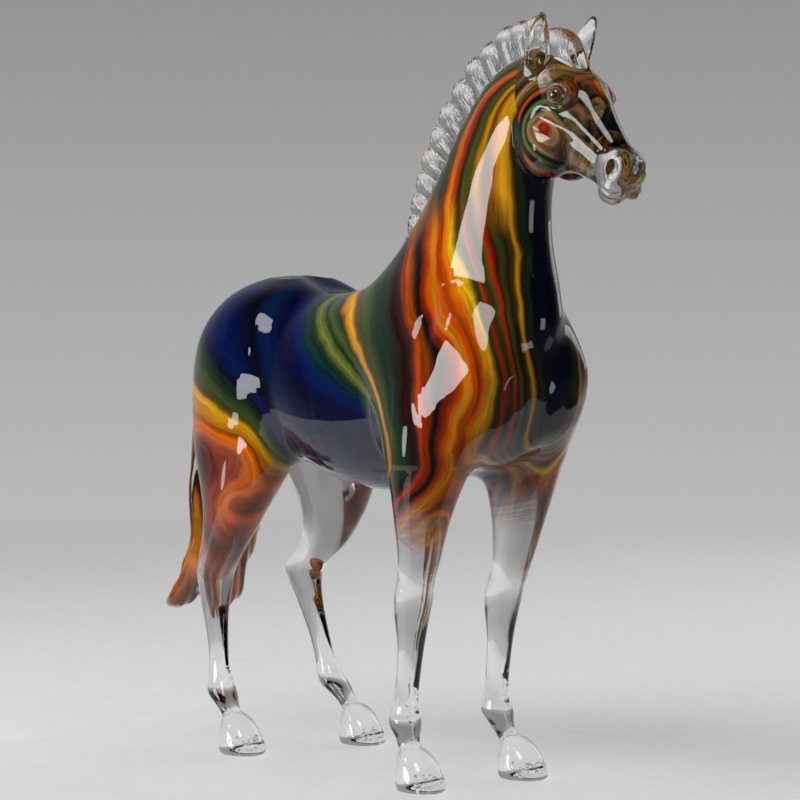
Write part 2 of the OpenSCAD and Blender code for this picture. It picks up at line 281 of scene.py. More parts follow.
class Field:
    """A piece's distance in millimetres on its own box of the shared grid."""

    def __init__(self, at, a, band):
        self.at, self.a, self.band = at, a, band

    def where(self, origin=I0):
        """The box as slices of a grid that starts at origin."""
        s = self.at - origin
        return tuple(slice(s[c], s[c] + self.a.shape[c]) for c in range(3))

    def axes(self):
        """X, Y and Z over the box, each shaped to spread over it."""
        x, y, z = (np.arange(i, i + n) * VOX for i, n in zip(self.at, self.a.shape))
        return x[:, None, None], y[None, :, None], z[None, None, :]


def lofted(rows, band=BAND, n=64, k=10, calm=0):
    """The field of a lofted piece."""
    p, q, t = loft(rows, n, k, calm)
    g = vdb.FloatGrid.createLevelSetFromPolygons(
        p.astype(np.float32), t.astype(np.uint32), q.astype(np.uint32),
        GRID_AT, band / VOX)
    lo = np.maximum(np.floor((p.min(0) - band) / VOX).astype(int), I0)
    hi = np.minimum(np.ceil((p.max(0) + band) / VOX).astype(int), I0 + DIM)
    a = np.empty(hi - lo, np.float32)
    g.copyToArray(a, ijk=tuple(int(c) for c in lo))
    return Field(lo, a, band)


def smin(a, b, k):
    """Union of two distances with a fillet of about k."""
    h = np.maximum(k - np.abs(a - b), 0) / k
    return np.minimum(a, b) - h * h * (k / 4)


def smax(a, b, k):
    """What two distances share, with the same fillet."""
    return -smin(-a, -b, k)


def add(G, f, k):
    w = f.where()
    G[w] = smin(G[w], f.a, k)


def box_of(lo, hi):
    """Slices of the shared grid between two corners, and X, Y and Z over them."""
    lo = np.maximum(np.floor(np.array(lo) / VOX).astype(int), I0)
    hi = np.minimum(np.ceil(np.array(hi) / VOX).astype(int) + 1, I0 + DIM)
    w = tuple(slice(lo[c] - I0[c], hi[c] - I0[c]) for c in range(3))
    ax = [np.arange(lo[c], hi[c], dtype=np.float32) * VOX for c in range(3)]
    return w, (ax[0][:, None, None], ax[1][None, :, None], ax[2][None, None, :])


def blob(c, r, tilt=0.0, yaw=0.0, pad=8.0):
    """Ellipsoid distance about c with radii r; tilt turns it nose down about Y."""
    m = max(r) + pad
    w, (X, Y, Z) = box_of([v - m for v in c], [v + m for v in c])
    X, Y, Z = X - c[0], Y - c[1], Z - c[2]
    a, b = math.radians(tilt), math.radians(yaw)
    U = X * math.cos(b) + Y * math.sin(b)
    V = -X * math.sin(b) + Y * math.cos(b)
    P = U * math.cos(a) - Z * math.sin(a)
    Q = U * math.sin(a) + Z * math.cos(a)
    k0 = np.sqrt((P / r[0]) ** 2 + (V / r[1]) ** 2 + (Q / r[2]) ** 2) + 1e-6
    k1 = np.sqrt((P / r[0] ** 2) ** 2 + (V / r[1] ** 2) ** 2 + (Q / r[2] ** 2) ** 2) + 1e-6
    return w, k0 * (k0 - 1) / k1


def bump(G, c, r, k, **kw):
    w, d = blob(c, r, **kw)
    G[w] = smin(G[w], d.astype(np.float32), k)


def dent(G, c, r, k, **kw):
    w, d = blob(c, r, **kw)
    G[w] = smax(G[w], -d.astype(np.float32), k)


def groove(G, pts, r, depth_k):
    """A soft furrow along a run of points."""
    pts = np.array(pts, float)
    m = r + 6
    w, (X, Y, Z) = box_of(pts.min(0) - m, pts.max(0) + m)
    best = None
    for a, b in zip(pts[:-1], pts[1:]):
        d = b - a
        L = float(d @ d)
        t = np.clip(((X - a[0]) * d[0] + (Y - a[1]) * d[1] + (Z - a[2]) * d[2]) / L, 0, 1)
        q = np.sqrt((X - a[0] - t * d[0]) ** 2 + (Y - a[1] - t * d[1]) ** 2
                    + (Z - a[2] - t * d[2]) ** 2) - r
        best = q if best is None else np.minimum(best, q)
    G[w] = smax(G[w], -best.astype(np.float32), depth_k)


# ---------- body
G = np.full(DIM, BAND, np.float32)
add(G, lofted(BARREL), 1)
add(G, lofted(NECK), 14)
for d, (fore, hind) in LEG_SET.items():
    add(G, lofted(breast_rows(d)), 9)
    add(G, lofted(fore_rows(d, fore), calm=CALM), 11)
    add(G, lofted(hind_rows(d, hind), calm=CALM), 12)

# tendon furrows down the cannons, one on each side of each leg
for d, (f, h) in LEG_SET.items():
    for q in (-1, 1):
        groove(G, [(50 - 0.5 * f, d * 24.5 + q * 7.2, 70),
                   (48.5 - 0.7 * f, d * 24.6 + q * 6, 58),
                   (47.4 - 0.8 * f, d * 25 + q * 5.4, 42)], 0.7, 2.4)
        groove(G, [(-90.5 - 0.7 * h, d * 28 + q * 5.8, 62),
                   (-87.5 - 0.2 * h, d * 28.5 + q * 5, 46),
                   (-86 + 0.2 * h, d * 29 + q * 5.2, 35)], 0.7, 2.2)

# head
add(G, lofted(HEAD, band=8), 4)
for d in (-1, 1):
    # cheek, brow, eyelids, eye socket, cheekbone furrow, nostril rim, nostril, lip
    bump(G, (117, d * 6.5, 264), (16, 9, 17), 3, tilt=20)
    bump(G, (127, d * 8.6, 284), (8, 4, 3.6), 4, tilt=38, yaw=-8 * d)
    bump(G, (129.5, d * 10.2, 279.5), (6, 4.8, 5.6), 2)
    dent(G, (129.5, d * 14.2, 279.3), (4.7, 4.8, 4.3), 1.0)
    groove(G, [(121, d * 15, 271), (135, d * 12, 265), (146, d * 9.6, 256)], 1.2, 5)
    bump(G, (155.2, d * 5, 250.4), (5.0, 2.6, 5.8), 4, tilt=20)
    dent(G, (156.4, d * 8.6, 250), (2.7, 3.0, 3.9), 1.3, tilt=20)
    bump(G, (152.5, d * 4.4, 242.5), (6, 3.8, 3.4), 3, tilt=25)
# chin, and the line of the mouth
bump(G, (147, 0, 241), (5.6, 4.8, 4.2), 2.5, tilt=30)
for d in (-1, 1):
    groove(G, [(161, d * 4, 240), (155, d * 7, 240), (147, d * 7.4, 244.5)], 0.6, 1.4)

# the horse without its applied pieces
GB = G.copy()

# applied pieces: each keeps its own field so that the skin can be shared out
applied = {}
for d, name in ((-1, "right_ear"), (1, "left_ear")):
    f = lofted(ear_rows(d), band=4, n=32)
    o = 2 if d > 0 else 0
    # two hollows make the cup of the ear
    for c, r in (((118.8, d * (12.6 + o), 298), (3.4, 2.8, 6.5)),
                 ((120, d * (13.2 + o), 303.5), (2.4, 2.1, 4.2))):
        e = np.sqrt(sum(((v - c[k]) / r[k]) ** 2 for k, v in enumerate(f.axes()))) - 1
        f.a = smax(f.a, -(e * min(r)), 0.8).astype(np.float32)
    applied[name] = f
applied["forelock"] = lofted(FORELOCK, band=4, n=40)
cr = np.array(CREST, float)
lock_axis = []
for i in range(LOCKS):
    t = i * (len(cr) - 1) / (LOCKS - 1)
    a = min(int(t), len(cr) - 2)
    c = cr[a] + (t - a) * (cr[a + 1] - cr[a])
    tall = LOCK_LOW + LOCK_MORE * math.sin(math.radians(15 + 130 * i / (LOCKS - 1)))
    ux, uz = math.cos(math.radians(c[2])), math.sin(math.radians(c[2]))
    lock_axis.append((c[0], c[1], ux, uz))
    rows = [[c[0] + v * tall * ux - s * uz, 0, c[1] + v * tall * uz + s * ux, c[2] + q, h, h, w]
            for v, s, q, h, w in ((-0.5, 0, 0, 4.6, 3.0), (0, 0, 0, 5.2, 3.6),
                                  (0.4, 0, 2, 5.9, 4.2), (0.75, 0.2, 6, 6.2, 3.9),
                                  (0.93, 0.8, 10, 5.2, 3.0), (1.02, 1.2, 14, 3.0, 1.7),
                                  (1.05, 1.4, 16, 0.8, 0.6))]
    f = lofted(rows, band=4, n=32, k=6)
    gx, gy, gz = f.axes()
    across = -(gx - c[0]) * uz + (gz - c[1]) * ux
    along = (gx - c[0]) * ux + (gz - c[1]) * uz
    bowed = across + 0.02 * along ** 2 + 0.3 * np.abs(gy)
    rib = np.cos(2 * math.pi * bowed / RIB_PITCH + i)
    f.a = (f.a - RIB_DEPTH * rib * np.clip(along / 4, 0, 1)).astype(np.float32)
    applied["mane_lock_%02d" % (i + 1)] = f
# the tail and the lock that flicks out behind it are one piece
halves = lofted(TAIL, band=TAIL_BAND), lofted(FLICK, band=TAIL_BAND)
lo = np.minimum(*(f.at for f in halves))
hi = np.maximum(*(f.at + f.a.shape for f in halves))
both = Field(lo, np.full(hi - lo, TAIL_BAND, np.float32), TAIL_BAND)
for f in halves:
    w = f.where(lo)
    both.a[w] = smin(both.a[w], f.a, 3)
gx, gy, gz = both.axes()
strand = gy + 0.05 * (gz - 120) * (gz < 120)
both.a = both.a - STRAND_DEPTH * np.cos(2 * math.pi * (strand / STRAND_PITCH + 0.01 * gx))
both.a = both.a.astype(np.float32)
applied["tail_casing"] = both
for name, (x, y) in HOOF_AT.items():
    applied[name + "_hoof"] = lofted(hoof_rows(x, y), band=5, n=48)

for name, f in applied.items():
    add(G, f, 0.6 if "lock" in name and "fore" not in name else 1.2)

# ---------- meshing
def skin(A):
    """Points and triangles of the surface where a field is zero."""
    g = vdb.FloatGrid(BAND)
    g.transform = GRID_AT
    g.copyFromArray(A, ijk=tuple(int(c) for c in I0), tolerance=0.0)
    p, t, q = g.convertToPolygons(0.0, 0.0)
    t = t.reshape(-1, 3).astype(np.int64)
    q = q.reshape(-1, 4).astype(np.int64)
    return p.astype(float), np.vstack([t, q[:, [0, 1, 2]], q[:, [0, 2, 3]]])


def sample(a, at, P):
    """A field's value at each point."""
    q = P / VOX - at
    s = np.array(a.shape)
    i = np.clip(np.floor(q).astype(int), 0, s - 2)
    f = np.clip(q - i, 0, 1)
    out = 0
    for dx in (0, 1):
        for dy in (0, 1):
            for dz in (0, 1):
                wt = (np.where(dx, f[:, 0], 1 - f[:, 0])
                      * np.where(dy, f[:, 1], 1 - f[:, 1])
                      * np.where(dz, f[:, 2], 1 - f[:, 2]))
                out = out + wt * a[i[:, 0] + dx, i[:, 1] + dy, i[:, 2] + dz]
    return out


def grad(A, P, h=0.9):
    """Smooth normals, read from the field itself."""
    g = np.stack([sample(A, I0, P + e) - sample(A, I0, P - e)
                  for e in np.eye(3) * h], 1)
    return g / (np.linalg.norm(g, axis=1, keepdims=True) + 1e-9)


class Skin:
    """A surface whose triangles are shared out to named pieces."""

    def __init__(self, P, T, first):
        self.P, self.T = P, T
        self.names = [first]
        self.L = np.zeros(len(T), int)

    def cut(self, src, new, field):
        """Where field > 0, the part of piece src goes to piece new."""
        k = self.names.index(src)
        if new not in self.names:
            self.names.append(new)
        n = self.names.index(new)
        sel = np.where(self.L == k)[0]
        T = self.T[sel]
        used = np.unique(T)
        g = np.zeros(len(self.P))
        g[used] = field(self.P[used])
        g[np.abs(g) < 1e-7] = 1e-7
        s = g[T] > 0
        c = s.sum(1)
        self.L[sel[c == 3]] = n
        mix = np.where((c == 1) | (c == 2))[0]
        if not len(mix):
            return
        Tm, sm = T[mix], s[mix]
        lone = np.where(c[mix] == 1, sm.argmax(1), (~sm).argmax(1))
        r = np.arange(len(mix))
        a, b, d = Tm[r, lone], Tm[r, (lone + 1) % 3], Tm[r, (lone + 2) % 3]
        e = np.sort(np.vstack([np.stack([a, b], 1), np.stack([a, d], 1)]), axis=1)
        eu, inv = np.unique(e, axis=0, return_inverse=True)
        inv = inv.reshape(-1)
        t = g[eu[:, 0]] / (g[eu[:, 0]] - g[eu[:, 1]])
        new_p = self.P[eu[:, 0]] + t[:, None] * (self.P[eu[:, 1]] - self.P[eu[:, 0]])
        base = len(self.P)
        self.P = np.vstack([self.P, new_p])
        ab, ad = base + inv[:len(mix)], base + inv[len(mix):]
        pos = c[mix] == 1
        la, lb = np.where(pos, n, k), np.where(pos, k, n)
        self.T[sel[mix]] = np.stack([a, ab, ad], 1)
        self.L[sel[mix]] = la
        self.T = np.vstack([self.T, np.stack([ab, b, d], 1), np.stack([ab, d, ad], 1)])
        self.L = np.concatenate([self.L, lb, lb])

    def piece(self, name):
        """A piece's points, its triangles, and the numbers of its points here."""
        T = self.T[self.L == self.names.index(name)]
        used, inv = np.unique(T, return_inverse=True)
        return self.P[used], inv.reshape(-1, 3), used


def plane(at, normal):
    """Height over a plane."""
    at, normal = np.array(at, float), np.array(normal, float)
    return lambda P: (P - at) @ normal


def sin_cos(degrees):
    a = math.radians(degrees)
    return math.sin(a), math.cos(a)


neck_sin, neck_cos = sin_cos(NECK_TILT)
throat_sin, throat_cos = sin_cos(THROAT_TILT)
above_neck = plane(NECK_SEAM, (neck_sin, 0, neck_cos))
past_throat = plane(THROAT_SEAM, (throat_cos, 0, throat_sin))


def share_legs(S, src, suffix):
    """Cuts off the four legs below their level seam."""
    S.cut(src, "low", plane((0, 0, LEG_SEAM), (0, 0, -1)))
    S.cut("low", "low_front", plane((0, 0, 0), (1, 0, 0)))
    S.cut("low_front", "right_front" + suffix, plane((0, 0, 0), (0, -1, 0)))
    S.cut("low_front", "left_front" + suffix, plane((0, 0, 0), (0, 1, 0)))
    S.cut("low", "right_hind" + suffix, plane((0, 0, 0), (0, -1, 0)))
    S.cut("low", "left_hind" + suffix, plane((0, 0, 0), (0, 1, 0)))


def depth_in(name, P):
    """Distance to an applied piece."""
    f = applied[name]
    q = P / VOX
    v = sample(f.a, f.at, P)
    inside = ((q > f.at) & (q < f.at + np.array(f.a.shape) - 1)).all(1)
    return np.where(inside & (v < f.band - 0.5), v, FAR_OFF)


def over(name):
    """Positive where an applied piece stands out of the horse."""
    return lambda P: sample(GB, I0, P) - depth_in(name, P)


def before(a, b):
    """Positive where applied piece b is nearer than a."""
    return lambda P: depth_in(a, P) - depth_in(b, P)


outer = Skin(*skin(G), "trunk_casing")
outer.cut("trunk_casing", "tail_casing", over("tail_casing"))
share_legs(outer, "trunk_casing", "_leg")
for leg in HOOF_AT:
    outer.cut(leg + "_leg", leg + "_hoof", plane((0, 0, HOOF_H), (0, 0, -1)))
outer.cut("trunk_casing", "neck_casing", above_neck)
outer.cut("neck_casing", "head_casing", past_throat)
locks = ["mane_lock_%02d" % (i + 1) for i in range(LOCKS)]
for src in ("trunk_casing", "neck_casing", "head_casing"):
    for name in locks:
        # only the last locks reach the head, and only the first two the trunk
        number = int(name[-2:])
        if (src == "head_casing" and number < 11) or (src == "trunk_casing" and number > 2):
            continue
        outer.cut(src, name, over(name))
for a, b in zip(locks[:-1], locks[1:]):
    outer.cut(a, b, before(a, b))
for pieces, sources in ((("forelock",), ("neck_casing", "head_casing", locks[-1], locks[-2])),
                        (("right_ear", "left_ear"),
                         ("head_casing", "neck_casing", "forelock", locks[-1]))):
    for src in sources:
        for name in pieces:
            outer.cut(src, name, over(name) if "casing" in src else before(src, name))

# ---------- colour
X, Y, Z = box_of(LOW, HIGH)[1]


def inner_wall():
    """Depth of the clear glass over the colour, in millimetres."""
    Xs, Zs = X[:, 0, 0][:, None], Z[0, 0, :][None, :]
    w = np.full((len(Xs), Zs.shape[1]), WALL, np.float32)
    # a thinner wall in the legs, then thicker and thicker where the colour ends
    w = w - 0.5 * np.clip((126 - Zs) / 16, 0, 1)
    w = w + 0.7 * np.maximum(0, np.where(Xs > 0, 92.0, 66.0) + 14 - Zs)
    # thicker in the head, most of all toward the muzzle
    ahead = (Xs - THROAT_SEAM[0]) * throat_cos + (Zs - THROAT_SEAM[2]) * throat_sin
    w = w + np.clip(ahead / 14, 0, 1) * 1.5 + np.clip((ahead - 30) / 6, 0, 10) * 2
    return np.minimum(w, WALL_MOST)[:, None, :]


C = np.minimum(GB + inner_wall(), BAND).astype(np.float32)
# the left hind leg is clear but for one drop of colour at the hock
lift = np.clip((150 - Z) / 30, 0, 1) * np.clip((Y - 2) / 4, 0, 1) * (X < 0)
C = np.minimum(C + 2 * BAND * lift, BAND).astype(np.float32)
bump(C, (-88, 27, 80), (3.4, 2.4, 4.6), 0.5, tilt=-20)
colour = Skin(*skin(C), "trunk_core")
share_legs(colour, "trunk_core", "_core")
colour.cut("trunk_core", "neck_core", above_neck)
colour.cut("neck_core", "head_core", past_throat)


# ---------- objects
def make(name, P, T, N=None, **attrs):
    """A mesh object; each keyword is a value for every point, read by the material."""
    me = bpy.data.meshes.new(name)
    me.vertices.add(len(P))
    co = (P + (SHIFT, 0, 0)) / 1000
    me.vertices.foreach_set("co", co.astype(np.float32).ravel())
    me.loops.add(T.size)
    me.loops.foreach_set("vertex_index", T.ravel().astype(np.int32))
    me.polygons.add(len(T))
    me.polygons.foreach_set("loop_start", np.arange(0, T.size, 3, dtype=np.int32))
    me.update(calc_edges=True)
    me.validate()
    me.polygons.foreach_set("use_smooth", np.ones(len(me.polygons), bool))
    for k, v in attrs.items():
        at = me.attributes.new(k, "FLOAT", "POINT")
        at.data.foreach_set("value", np.asarray(v, np.float32))
    if N is not None:
        me.normals_split_custom_set_from_vertices(N.astype(np.float32).tolist())
    ob = bpy.data.objects.new(name, me)
    bpy.context.collection.objects.link(ob)
    return ob


def add_piece(name, P, T, N, material, slot, node, **attrs):
    ob = make(name, P, T, N, **attrs)
    ob.data.materials.append(material)
    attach(ob, "root")
    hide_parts(node)


# ---------- node help
def srgb(*c):
    """A picture colour, 0 to 255, as the linear one that shaders take."""
    return tuple((v / 255 / 12.92) if v < 10 else ((v / 255 + 0.055) / 1.055) ** 2.4
                 for v in c) + (1.0,)


def grey(v):
    return srgb(v, v, v)


def even(v):
    return (v, v, v, 1)


class Nodes:
    """A node tree written in short: a new material's, or the one given."""

    def __init__(self, name=None, tree=None):
        if tree is None:
            self.mat = bpy.data.materials.new(name)
            self.mat.use_nodes = True
            tree = self.mat.node_tree
        self.nt = tree
        self.nt.nodes.clear()

    def new(self, kind, **kw):
        n = self.nt.nodes.new("ShaderNode" + kind)
        for k, v in kw.items():
            if hasattr(n, k):
                setattr(n, k, v)
            else:
                n.inputs[k.replace("_", " ")].default_value = v
        return n

    def link(self, a, b):
        self.nt.links.new(a, b)

    def math(self, op, a, b=None, clamp=False):
        """A Math node; each input is a number or another node's output."""
        n = self.nt.nodes.new("ShaderNodeMath")
        n.operation, n.use_clamp = op, clamp
        for i, v in enumerate((a, b)):
            if hasattr(v, "is_linked"):
                self.link(v, n.inputs[i])
            elif v is not None:
                n.inputs[i].default_value = v
        return n.outputs[0]

    def mixed(self, a, ka, b, kb):
        """a times ka plus b times kb."""
        return self.math("ADD", self.math("MULTIPLY", a, ka), self.math("MULTIPLY", b, kb))

    def noise(self, vec, scale, detail=2.0, rough=0.5, dim="3D", w=None):
        n = self.nt.nodes.new("ShaderNodeTexNoise")
        n.noise_dimensions = dim
        n.inputs["Scale"].default_value = scale
        n.inputs["Detail"].default_value = detail
        n.inputs["Roughness"].default_value = rough
        if vec is not None:
            self.link(vec, n.inputs["Vector"])
        if w is not None:
            self.link(w, n.inputs["W"])
        return n.outputs["Fac"]

    def remap(self, v, a, b, c, d):
        n = self.nt.nodes.new("ShaderNodeMapRange")
        self.link(v, n.inputs["Value"])
        for k, x in zip(("From Min", "From Max", "To Min", "To Max"), (a, b, c, d)):
            n.inputs[k].default_value = x
        return n.outputs["Result"]

    def ramp(self, v, stops):
        n = self.nt.nodes.new("ShaderNodeValToRGB")
        n.color_ramp.interpolation = "LINEAR"
        el = n.color_ramp.elements
        for i, (p, c) in enumerate(stops):
            e = el[i] if i < 2 else el.new(p)
            e.position, e.color = p, c
        self.link(v, n.inputs["Fac"])
        return n.outputs["Color"]

    def coords(self):
        return self.nt.nodes.new("ShaderNodeTexCoord").outputs["Object"]

    def attr(self, name):
        n = self.nt.nodes.new("ShaderNodeAttribute")
        n.attribute_name = name
        return n.outputs["Fac"]

    def bump(self, height, strength, distance):
        n = self.nt.nodes.new("ShaderNodeBump")
        n.inputs["Strength"].default_value = strength
        n.inputs["Distance"].default_value = distance
        self.link(height, n.inputs["Height"])
        return n.outputs["Normal"]

    def out(self, shader):
        self.link(shader, self.new("OutputMaterial").inputs["Surface"])
        return self.mat


def glass(name, light, dark, wave=55, depth=0.0009, strands=False):
    """Clear hot-worked glass: faint tint drift, soft waviness, fine drawn cords."""
    m = Nodes(name)
    at = m.coords()
    p = m.new("BsdfPrincipled")
    drift = m.noise(at, 30, 3, 0.55)
    m.link(m.ramp(drift, [(0.3, dark), (0.7, light)]), p.inputs["Base Color"])
    m.link(m.remap(m.noise(at, 90, 2), 0.35, 0.75, 0.0, 0.012), p.inputs["Roughness"])
    p.inputs["Transmission Weight"].default_value = 1.0
    p.inputs["IOR"].default_value = 1.5
    h = m.math("ADD", m.noise(at, wave, 1), m.math("MULTIPLY", m.noise(at, 260, 1), 0.012))
    if strands:
        s = m.math("ADD", m.math("MULTIPLY", m.attr("strand"), 1.1), m.noise(at, 160, 2))
        h = m.math("ADD", h, m.math("MULTIPLY", m.noise(None, 1.0, 2, 0.5, "1D", s), 0.7))
    m.link(m.bump(h, 0.35, depth), p.inputs["Normal"])
    # light passes straight through, so that the shadow stays pale
    lp, tr, mix = m.new("LightPath"), m.new("BsdfTransparent"), m.new("MixShader")
    m.link(lp.outputs["Is Shadow Ray"], mix.inputs["Fac"])
    m.link(p.outputs[0], mix.inputs[1])
    m.link(tr.outputs[0], mix.inputs[2])
    return m.out(mix.outputs[0])


# ---------- colours
NAVY = srgb(4, 10, 36)
INK = srgb(5, 7, 11)
COBALT = srgb(6, 24, 72)
TEAL = srgb(4, 44, 46)
GREEN = srgb(24, 48, 26)
MOSS = srgb(62, 76, 34)
LIME = srgb(112, 118, 44)
GOLD = srgb(196, 132, 16)
YELLOW = srgb(214, 158, 24)
OLIVE = srgb(66, 56, 12)
ORANGE = srgb(204, 94, 5)
BURNT = srgb(132, 50, 6)
FLAME = srgb(178, 62, 8)
RED = srgb(122, 34, 12)
SALMON = srgb(156, 80, 50)
ROSE = srgb(106, 52, 42)
BROWN = srgb(40, 17, 6)
SLATE = srgb(32, 42, 38)
AMBER = srgb(176, 98, 26)
PLUM = srgb(52, 30, 34)
TAN = srgb(164, 126, 84)
UMBER = srgb(104, 72, 42)

# colour by band number, which rises from the thigh forward to the breast and up
# the neck; both sides use the same numbers
BANDS = [
    (0.00, ROSE), (0.02, SALMON), (0.035, BROWN), (0.05, ROSE), (0.07, SALMON),
    (0.088, ORANGE), (0.10, BURNT), (0.118, GOLD), (0.13, YELLOW), (0.145, OLIVE),
    (0.165, MOSS), (0.19, GREEN), (0.215, NAVY), (0.245, COBALT), (0.27, NAVY),
    (0.29, INK), (0.31, COBALT), (0.35, NAVY), (0.385, COBALT), (0.40, TEAL),
    (0.418, GREEN), (0.43, LIME), (0.445, GREEN), (0.458, MOSS), (0.466, GREEN),
    (0.473, GOLD), (0.482, YELLOW), (0.493, OLIVE), (0.51, MOSS), (0.528, GREEN),
    (0.548, SLATE), (0.57, BROWN),
]
BANDS_2 = [
    (0.57, BROWN), (0.585, PLUM), (0.60, FLAME), (0.61, BURNT), (0.62, BROWN),
    (0.63, INK), (0.64, BURNT), (0.652, ORANGE), (0.663, YELLOW), (0.672, ORANGE),
    (0.685, BURNT), (0.694, ORANGE), (0.705, GOLD), (0.715, YELLOW), (0.724, OLIVE),
    (0.733, GREEN), (0.742, FLAME), (0.748, RED), (0.754, GREEN), (0.764, OLIVE),
    (0.774, FLAME), (0.781, BROWN), (0.79, MOSS), (0.80, BROWN), (0.813, OLIVE),
    (0.821, YELLOW), (0.829, BROWN), (0.842, GREEN), (0.853, INK), (0.866, NAVY),
    (0.885, INK), (0.92, NAVY),
]
# the same numbers higher up the neck
NECK_BANDS = [
    (0.57, SLATE), (0.60, OLIVE), (0.625, GOLD), (0.64, OLIVE), (0.655, MOSS),
    (0.667, GREEN), (0.685, OLIVE), (0.695, ORANGE), (0.707, FLAME), (0.718, RED),
    (0.728, BROWN), (0.74, MOSS), (0.752, OLIVE), (0.765, GOLD), (0.777, OLIVE),
    (0.79, GOLD), (0.805, YELLOW), (0.82, GOLD), (0.831, BROWN), (0.843, GREEN),
    (0.855, INK), (0.87, NAVY), (0.89, INK), (0.92, NAVY),
]
BAND_SPLIT = 0.57
# from the middle of the cheek outwards
HEAD_BANDS = [
    (0.0, FLAME), (0.06, BURNT), (0.11, TAN), (0.17, UMBER), (0.22, TAN), (0.27, TEAL),
    (0.295, GREEN), (0.34, LIME), (0.375, GREEN), (0.395, INK), (0.45, NAVY), (0.465, BURNT),
    (0.485, FLAME), (0.51, FLAME), (0.525, INK), (0.56, OLIVE), (0.62, UMBER), (0.68, TAN),
    (0.73, OLIVE), (0.78, TEAL), (0.84, TAN), (0.92, UMBER), (1.0, TAN),
]
# across the tail
TAIL_BANDS = [
    (0.0, BURNT), (0.14, AMBER), (0.22, BROWN), (0.34, GOLD), (0.4, OLIVE), (0.5, FLAME),
    (0.62, AMBER), (0.7, BROWN), (0.8, GOLD), (0.9, BURNT), (1.0, AMBER),
]

# the points that each band runs along, in millimetres: right side and breast
RUNS = {
    0.03: [(-86, -35, 136), (-68, -36, 125), (-58, -32, 118), (-75, -36, 108),
           (-90, -10, 140), (-80, -34, 90), (-66, -20, 110), (-90, -25, 75)],
    0.085: [(-98, -25, 146), (-78, -35, 142), (-60, -34, 136), (-50, -29, 135)],
    0.125: [(-102, -20, 158), (-86, -34, 155), (-70, -35, 148), (-52, -32, 145)],
    0.16: [(-102, -20, 172), (-88, -33, 166), (-70, -35, 158), (-54, -33, 153)],
    0.24: [(-80, -26, 198), (-82, -32, 185), (-62, -34, 178), (-60, -20, 204), (-100, 0, 186)],
    0.29: [(-54, -26, 198), (-50, -31, 181), (-46, -32, 164), (-38, -26, 143)],
    0.34: [(-42, -20, 198), (-31, -29, 180), (-18, -32, 165), (10, -29, 148), (26, -22, 136),
           (-20, -20, 130)],
    0.40: [(-32, -16, 196), (-18, -28, 182), (2, -31, 170), (28, -30, 158), (44, -30, 142)],
    0.425: [(-20, -16, 196), (-8, -26, 186), (4, -29, 177), (19, -30, 168), (34, -30, 160)],
    0.475: [(-2, -14, 200), (12, -26, 187), (31, -31, 173), (44, -33, 160), (52, -35, 144)],
    0.525: [(20, -18, 205), (32, -28, 191), (41, -32, 178), (47, -34, 164), (54, -35, 148)],
    0.56: [(32, -13, 218), (42, -25, 200), (55, -32, 182), (62, -35, 166), (66, -37, 146)],
    0.605: [(36, -12, 230), (40, -18, 213), (50, -25, 201), (61, -29, 190), (70, -32, 178),
            (71, -34, 164), (72, -37, 148)],
    0.615: [(40, -5, 243), (54, -5, 264), (70, -5, 280), (86, -5, 291), (101, -5, 295)],
    0.63: [(46, -11, 240), (48, -19, 215), (57, -26, 198), (69, -29, 184), (80, -32, 170),
           (79, -34, 154)],
    0.665: [(84, -8, 288), (72, -9, 274), (63, -11, 254), (61, -16, 233), (61, -19, 217),
            (67, -23, 203), (82, -29, 188), (91, -29, 178), (93, -29, 168),
            (89, -30, 153), (82, -29, 139)],
    0.705: [(88, -8, 284), (78, -10, 270), (71, -13, 254), (68, -16, 237), (68, -18, 222)],
    0.742: [(98, -9, 285), (86, -12, 272), (79, -13, 258), (76, -15, 244), (75, -17, 230)],
    0.715: [(72, -19, 215), (79, -19, 207), (88, -21, 196), (97, -21, 184),
            (102, -21, 170), (102, -21, 161), (95, -22, 150), (86, -21, 141)],
    0.775: [(102, -12, 278), (94, -13, 259), (89, -14, 240), (91, -14, 219), (96, -11, 203),
            (98, -13, 191), (101, -12, 179), (102, -11, 170), (101, -9, 158), (95, -8, 147)],
    0.82: [(104, -11, 281), (99, -12, 268), (97, -11, 248), (97, -10, 232), (98, -9, 220),
           (99, -7, 210), (100, -6, 200), (101, -7, 185), (102, -7, 170)],
    0.87: [(103, 1, 205), (104, 2, 190), (105, 1, 172), (101, 0, 150)],
    0.88: [(104, -4, 258), (101, 0, 236), (101, 5, 212), (98, 14, 194), (103, 14, 178),
           (103, 11, 158), (90, 18, 142), (80, 34, 165)],
}
# bands below LEFT_BELOW, and those of LEFT_TOO, run down the left side too, a
# little further back and lower
LEFT_BELOW, LEFT_TOO, LEFT_BACK = 0.68, (0.705, 0.742), 3


def band_points():
    pts, val = [], []
    for u, run in RUNS.items():
        for x, y, z in run:
            pts.append((x, y, z))
            val.append(u)
            if u < LEFT_BELOW or u in LEFT_TOO:
                pts.append((x - LEFT_BACK, -y, z - LEFT_BACK))
                val.append(u)
    return np.array(pts, float), np.array(val)


